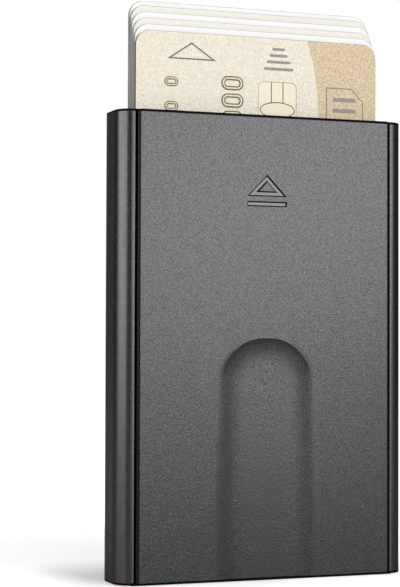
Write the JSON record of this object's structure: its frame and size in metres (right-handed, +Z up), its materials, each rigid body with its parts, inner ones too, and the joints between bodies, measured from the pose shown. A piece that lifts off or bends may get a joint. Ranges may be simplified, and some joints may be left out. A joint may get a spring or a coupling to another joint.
{
  "type": "card holder",
  "caption": "Flat aluminium card holder with black panels, a thumb groove and a rear thumb slider that lifts a fanned stack of cards out of its mouth.",
  "frame": {"origin": "middle of the base, on the surface that the holder stands on", "axes": "+Z up, out of the mouth; the front panel with the thumb groove faces -Y; +X to the right seen from the front"},
  "size_m": [0.0636, 0.0126, 0.1187],
  "materials": {
    "shell_anodised": "black anodised, satin",
    "grained_plastic": "fine moulded grain",
    "rear_plastic": "fine moulded grain",
    "bezel_plastic": "satin moulded",
    "cap_plastic": "satin moulded",
    "bonding_tape": "double-sided tape",
    "liner_felt": "thin non-woven felt",
    "lifter_acetal": "smooth moulded",
    "spring_steel": "bright rolled",
    "button_anodised": "black anodised, satin",
    "grip_rubber": "moulded, matt",
    "screw_steel": "turned",
    "card_gold": "satin print with fine metallic speckle",
    "contact_gilt": "gilt, satin",
    "card_white": "satin white",
    "card_cream": "satin cream"
  },
  "bodies": {
    "holder": {"body_shell": "shell_anodised", "front_panel": "grained_plastic", "back_panel": "rear_plastic", "top_bezel": "bezel_plastic", "bottom_cap": "cap_plastic", "base_pad": "grip_rubber", "front_tape": "bonding_tape", "back_tape": "bonding_tape", "front_liner": "liner_felt", "back_liner_left": "liner_felt", "back_liner_right": "liner_felt"},
    "lifter": {"card_lifter": "lifter_acetal", "brake_spring_left": "spring_steel", "brake_spring_right": "spring_steel", "slider_button": "button_anodised", "slider_grip": "grip_rubber", "slider_screw_left": "screw_steel", "slider_screw_right": "screw_steel"},
    "front_card": {"card_1": "card_gold", "card_1_contact_plate": "contact_gilt"},
    "second_card": {"card_2": "card_white"},
    "third_card": {"card_3": "card_cream"},
    "fourth_card": {"card_4": "card_white"},
    "fifth_card": {"card_5": "card_cream"},
    "sixth_card": {"card_6": "card_white"}
  },
  "joints": [
    {"name": "lifter_slide", "type": "slide", "parent": "holder", "child": "lifter", "axis": [0, 0, 1], "range_m": [-0.024, 0]},
    {"name": "front_card_slide", "type": "slide", "parent": "lifter", "child": "front_card", "axis": [0, 0, 1], "range_m": [0, 0.06]},
    {"name": "second_card_slide", "type": "slide", "parent": "lifter", "child": "second_card", "axis": [0, 0, 1], "range_m": [0, 0.06]},
    {"name": "third_card_slide", "type": "slide", "parent": "lifter", "child": "third_card", "axis": [0, 0, 1], "range_m": [0, 0.06]},
    {"name": "fourth_card_slide", "type": "slide", "parent": "lifter", "child": "fourth_card", "axis": [0, 0, 1], "range_m": [0, 0.06]},
    {"name": "fifth_card_slide", "type": "slide", "parent": "lifter", "child": "fifth_card", "axis": [0, 0, 1], "range_m": [0, 0.06]},
    {"name": "sixth_card_slide", "type": "slide", "parent": "lifter", "child": "sixth_card", "axis": [0, 0, 1], "range_m": [0, 0.06]}
  ]
}
